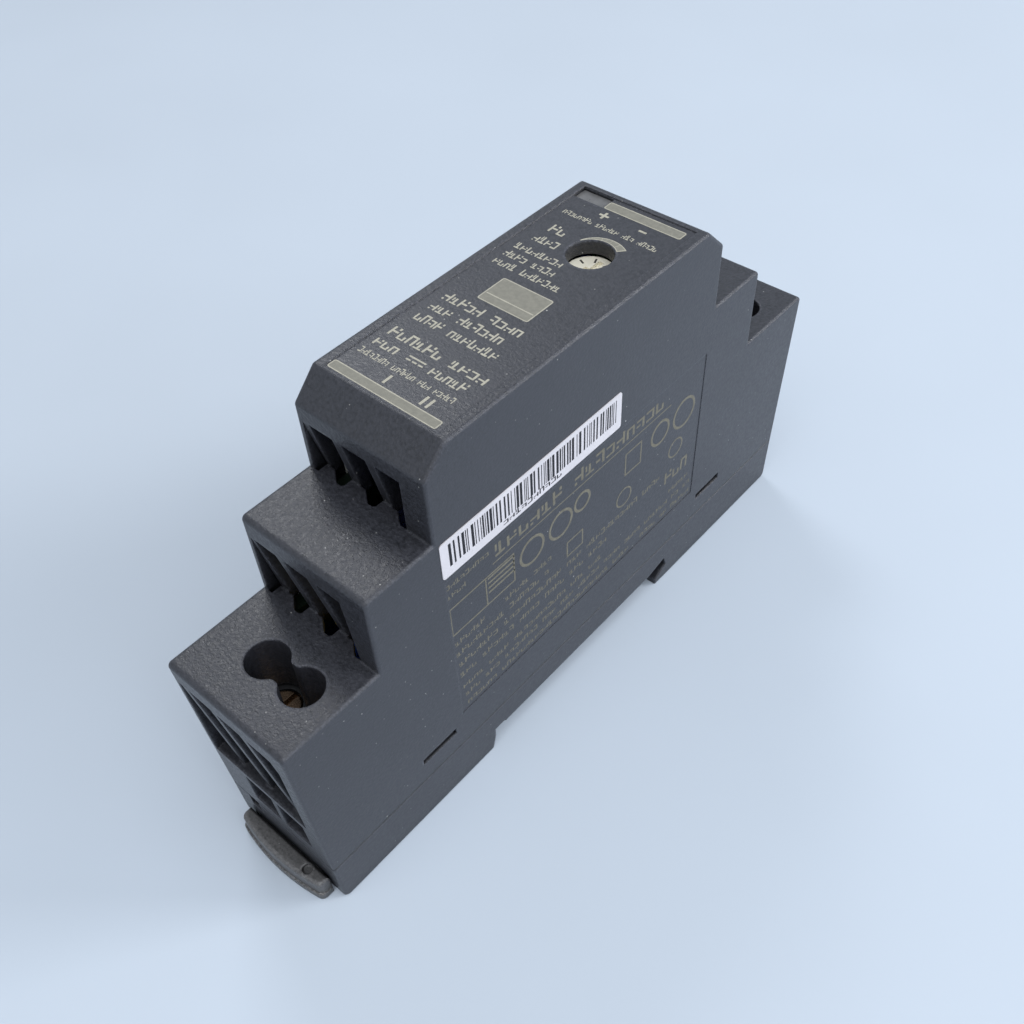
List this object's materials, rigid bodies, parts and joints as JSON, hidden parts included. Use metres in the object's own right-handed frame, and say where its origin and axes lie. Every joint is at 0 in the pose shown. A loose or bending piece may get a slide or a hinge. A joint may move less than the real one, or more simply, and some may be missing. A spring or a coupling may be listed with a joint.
{
  "type": "din rail power supply",
  "caption": "Slim one-module AC to DC power supply that clips onto a 35 mm rail, with stepped plastic case, screw terminals at both ends, sprung rail clip and front voltage trimmer.",
  "frame": {"origin": "centre of the seat that bears on the rail's flanges, midway along the 35 mm rail recess and across the width", "axes": "+Z out of the front panel, away from the rail; +X towards the side face with the label; +Y from the input end with the rail clip's tab to the output end; the rail runs along X"},
  "size_m": [0.0176, 0.0913, 0.0545],
  "materials": {
    "case_plastic": "fine textured",
    "base_plastic": "fine textured",
    "clip_plastic": "smooth matte",
    "spring_steel": "plain",
    "light_pipe_plastic": "frosted",
    "label_film": "satin",
    "insulation_film": "satin",
    "dial_plastic": "matte",
    "trimmer_plastic": "matte",
    "led_resin": "clear tinted",
    "board_laminate": "solder mask",
    "terminal_plastic": "matte",
    "tinned_brass": "tinned",
    "screw_steel": "zinc plated",
    "clamp_steel": "zinc plated",
    "fuse_body": "matte",
    "varistor_coating": "dipped",
    "thermistor_coating": "dipped",
    "film_capacitor_box": "moulded",
    "ferrite": "sintered",
    "copper_wire": "enamelled",
    "chip_epoxy": "moulded",
    "capacitor_sleeve": "sleeved",
    "bobbin_plastic": "moulded",
    "winding_tape": "taped",
    "ceramic_coating": "dipped",
    "optocoupler_epoxy": "moulded",
    "sink_aluminium": "plain",
    "output_sleeve": "sleeved",
    "inductor_sleeve": "shrink sleeve"
  },
  "bodies": {
    "unit": {"housing": "case_plastic", "base": "base_plastic", "clip_spring": "spring_steel", "light_pipe": "light_pipe_plastic", "side_label": "label_film", "insulation_sheet": "insulation_film", "trimmer_body": "trimmer_plastic", "status_led": "led_resin", "main_board": "board_laminate", "input_terminal_board": "board_laminate", "output_terminal_board": "board_laminate", "input_terminal_block": "terminal_plastic", "output_terminal_block": "terminal_plastic", "input_contact_bars": "tinned_brass", "output_contact_bars": "tinned_brass", "fuse": "fuse_body", "surge_varistor": "varistor_coating", "inrush_thermistor": "thermistor_coating", "x_capacitor": "film_capacitor_box", "choke_core": "ferrite", "choke_windings": "copper_wire", "bridge_rectifier": "chip_epoxy", "bulk_capacitor_a": "capacitor_sleeve", "bulk_capacitor_b": "capacitor_sleeve", "switching_controller": "chip_epoxy", "transformer_core": "ferrite", "transformer_bobbin": "bobbin_plastic", "transformer_winding": "winding_tape", "y_capacitor": "ceramic_coating", "optocoupler": "optocoupler_epoxy", "output_rectifier": "chip_epoxy", "rectifier_heat_sink": "sink_aluminium", "output_capacitor_a": "output_sleeve", "output_capacitor_b": "output_sleeve", "output_capacitor_c": "output_sleeve", "output_inductor": "inductor_sleeve"},
    "rail_clip": {"din_clip": "clip_plastic"},
    "trimmer_dial": {"trimmer_rotor": "dial_plastic"},
    "neutral_screw_body": {"neutral_screw": "screw_steel"},
    "neutral_clamp_body": {"neutral_clamp": "clamp_steel"},
    "line_screw_body": {"line_screw": "screw_steel"},
    "line_clamp_body": {"line_clamp": "clamp_steel"},
    "plus_screw_body": {"plus_screw": "screw_steel"},
    "plus_clamp_body": {"plus_clamp": "clamp_steel"},
    "minus_screw_body": {"minus_screw": "screw_steel"},
    "minus_clamp_body": {"minus_clamp": "clamp_steel"}
  },
  "joints": [
    {"name": "clip_slide", "type": "slide", "parent": "unit", "child": "rail_clip", "axis": [0, -1, 0], "range_m": [0, 0.003], "stiffness_N_per_m": 1500, "springref_m": -0.001, "deforming": ["clip_spring"]},
    {"name": "trimmer_turn", "type": "hinge", "parent": "unit", "child": "trimmer_dial", "pos_m": [0.001, 0.0097, 0.0465], "axis": [0, 0, 1], "range_deg": [-105, 105]},
    {"name": "neutral_screw_turn", "type": "hinge", "parent": "unit", "child": "neutral_screw_body", "pos_m": [-0.00122, -0.0382, 0.0185], "axis": [0, 0, 1], "range_deg": [-2880, 0]},
    {"name": "neutral_clamp_slide", "type": "slide", "parent": "unit", "child": "neutral_clamp_body", "axis": [0, 0, 1], "range_m": [0, 0.004]},
    {"name": "line_screw_turn", "type": "hinge", "parent": "unit", "child": "line_screw_body", "pos_m": [0.00386, -0.0382, 0.0185], "axis": [0, 0, 1], "range_deg": [-2880, 0]},
    {"name": "line_clamp_slide", "type": "slide", "parent": "unit", "child": "line_clamp_body", "axis": [0, 0, 1], "range_m": [0, 0.004]},
    {"name": "plus_screw_turn", "type": "hinge", "parent": "unit", "child": "plus_screw_body", "pos_m": [-0.00122, 0.0382, 0.0185], "axis": [0, 0, 1], "range_deg": [-2880, 0]},
    {"name": "plus_clamp_slide", "type": "slide", "parent": "unit", "child": "plus_clamp_body", "axis": [0, 0, 1], "range_m": [0, 0.004]},
    {"name": "minus_screw_turn", "type": "hinge", "parent": "unit", "child": "minus_screw_body", "pos_m": [0.00386, 0.0382, 0.0185], "axis": [0, 0, 1], "range_deg": [-2880, 0]},
    {"name": "minus_clamp_slide", "type": "slide", "parent": "unit", "child": "minus_clamp_body", "axis": [0, 0, 1], "range_m": [0, 0.004]}
  ],
  "couplings": [
    {"joint": "neutral_screw_turn", "follows": "neutral_clamp_slide", "rad_per_m": -12566},
    {"joint": "line_screw_turn", "follows": "line_clamp_slide", "rad_per_m": -12566},
    {"joint": "plus_screw_turn", "follows": "plus_clamp_slide", "rad_per_m": -12566},
    {"joint": "minus_screw_turn", "follows": "minus_clamp_slide", "rad_per_m": -12566}
  ]
}
